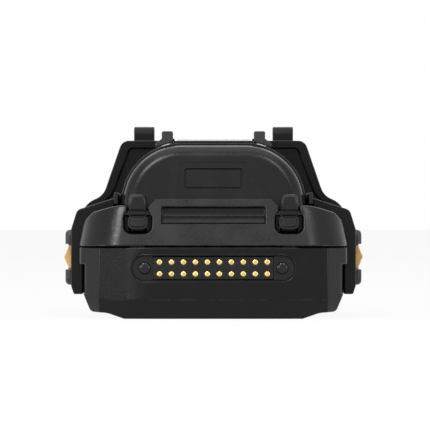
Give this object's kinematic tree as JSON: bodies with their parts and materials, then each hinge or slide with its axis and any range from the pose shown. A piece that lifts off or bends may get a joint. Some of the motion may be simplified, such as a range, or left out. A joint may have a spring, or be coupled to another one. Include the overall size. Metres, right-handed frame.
{
  "type": "wireless bodypack transmitter",
  "caption": "Belt-worn radio pack with sliding battery, rocker latches, sprung belt clip, side keys and dock contacts.",
  "frame": {"origin": "middle of the footprint of the pack lying on its front face", "axes": "+Y from the dock contacts to the control panel, +Z from the front face to the belt clip, +X across"},
  "size_m": [0.0654, 0.12, 0.0426],
  "materials": {
    "shell_black": "fine spark-eroded grain",
    "battery_black": "fine spark-eroded grain, slightly glossier",
    "latch_black": "satin moulded",
    "rubber_black": "smooth moulded rubber",
    "seal_rubber": "soft seal",
    "key_orange": "satin moulded",
    "key_grey": "satin moulded",
    "button_grey": "satin moulded",
    "block_black": "glass-filled, dull",
    "contact_gold": "gold plated",
    "screw_black": "black zinc",
    "clip_steel": "brushed along its length",
    "pin_steel": "ground",
    "spring_steel": "bright wire",
    "foot_black": "glossy moulded",
    "rail_grey": "anodised",
    "socket_nickel": "satin nickel",
    "lens_dark": "clear over dark",
    "display_grey": "liquid crystal module",
    "light_clear": "frosted light pipe",
    "board_green": "solder mask",
    "chip_black": "epoxy",
    "can_tin": "tinned",
    "cell_foil": "laminated foil"
  },
  "bodies": {
    "housing": {"dock_cap": "shell_black", "front_housing": "shell_black", "back_housing": "shell_black", "head_shell": "shell_black", "end_panel": "shell_black", "side_bezel_left": "rubber_black", "side_bezel_right": "rubber_black", "side_seals": "seal_rubber", "keypad_mat": "seal_rubber", "contact_block": "block_black", "contact_carrier": "block_black", "mic_socket_insert": "block_black", "dock_contacts": "contact_gold", "battery_terminals": "contact_gold", "contact_screws": "screw_black", "housing_screws": "screw_black", "panel_screws": "screw_black", "clip_pin": "pin_steel", "clip_spring": "spring_steel", "battery_catches": "spring_steel", "battery_rail_left": "rail_grey", "battery_rail_right": "rail_grey", "mic_socket_shell": "socket_nickel", "mic_socket_nut": "socket_nickel", "display_lens": "lens_dark", "display_module": "display_grey", "light_pipe": "light_clear", "main_board": "board_green", "control_board": "board_green", "antenna_plate": "board_green", "board_parts": "chip_black", "encoder_body": "chip_black", "power_switch": "chip_black", "side_switch_left": "chip_black", "side_switch_right": "chip_black", "shield_can": "can_tin"},
    "battery": {"battery_cover": "battery_black", "battery_cap": "battery_black", "battery_shell": "battery_black", "battery_tray": "battery_black", "battery_cells": "cell_foil", "cell_board": "board_green", "battery_pads": "contact_gold", "latch_pins": "pin_steel", "latch_spring_left": "spring_steel", "latch_spring_right": "spring_steel"},
    "latch_left": {"latch_left": "latch_black"},
    "latch_right": {"latch_right": "latch_black"},
    "clip": {"clip_leaf": "clip_steel", "clip_foot_left": "foot_black", "clip_foot_right": "foot_black"},
    "side_key_left": {"side_key_left": "key_orange"},
    "side_key_right": {"side_key_right": "key_orange"},
    "power_button": {"power_button": "button_grey"},
    "volume_knob": {"volume_knob": "rubber_black", "knob_shaft": "pin_steel"},
    "menu_key_1": {"menu_key_1": "key_grey"},
    "menu_key_2": {"menu_key_2": "key_grey"},
    "menu_key_3": {"menu_key_3": "key_grey"}
  },
  "joints": [
    {"name": "battery_slide", "type": "slide", "parent": "housing", "child": "battery", "axis": [0, -1, 0], "range_m": [0, 0.095], "deforming": ["battery_catches"]},
    {"name": "latch_left_press", "type": "hinge", "parent": "battery", "child": "latch_left", "pos_m": [-0.0161, -0.0553, 0.0224], "axis": [1, 0, 0], "range_deg": [0, 10], "stiffness_Nm_per_rad": 0.05, "springref_deg": -5.73, "deforming": ["latch_spring_left"]},
    {"name": "latch_right_press", "type": "hinge", "parent": "battery", "child": "latch_right", "pos_m": [0.0161, -0.0553, 0.0224], "axis": [1, 0, 0], "range_deg": [0, 10], "stiffness_Nm_per_rad": 0.05, "springref_deg": -5.73, "deforming": ["latch_spring_right"]},
    {"name": "clip_open", "type": "hinge", "parent": "housing", "child": "clip", "pos_m": [0, 0.034, 0.0378], "axis": [-1, 0, 0], "range_deg": [0, 15], "stiffness_Nm_per_rad": 0.8, "springref_deg": -8.59, "deforming": ["clip_spring"]},
    {"name": "side_key_left_press", "type": "slide", "parent": "housing", "child": "side_key_left", "axis": [1, 0, 0], "range_m": [0, 0.0008], "stiffness_N_per_m": 600, "springref_m": -0.001},
    {"name": "side_key_right_press", "type": "slide", "parent": "housing", "child": "side_key_right", "axis": [-1, 0, 0], "range_m": [0, 0.0008], "stiffness_N_per_m": 600, "springref_m": -0.001},
    {"name": "power_press", "type": "slide", "parent": "housing", "child": "power_button", "axis": [0, -1, 0], "range_m": [0, 0.0008], "stiffness_N_per_m": 600, "springref_m": -0.001},
    {"name": "volume_turn", "type": "hinge", "parent": "housing", "child": "volume_knob", "pos_m": [0.011, 0.058, 0.0126], "axis": [0, 1, 0], "range_deg": [0, 280]},
    {"name": "menu_key_1_press", "type": "slide", "parent": "housing", "child": "menu_key_1", "axis": [0, 0, 1], "range_m": [0, 0.0005], "stiffness_N_per_m": 500, "springref_m": -0.001},
    {"name": "menu_key_2_press", "type": "slide", "parent": "housing", "child": "menu_key_2", "axis": [0, 0, 1], "range_m": [0, 0.0005], "stiffness_N_per_m": 500, "springref_m": -0.001},
    {"name": "menu_key_3_press", "type": "slide", "parent": "housing", "child": "menu_key_3", "axis": [0, 0, 1], "range_m": [0, 0.0005], "stiffness_N_per_m": 500, "springref_m": -0.001}
  ]
}
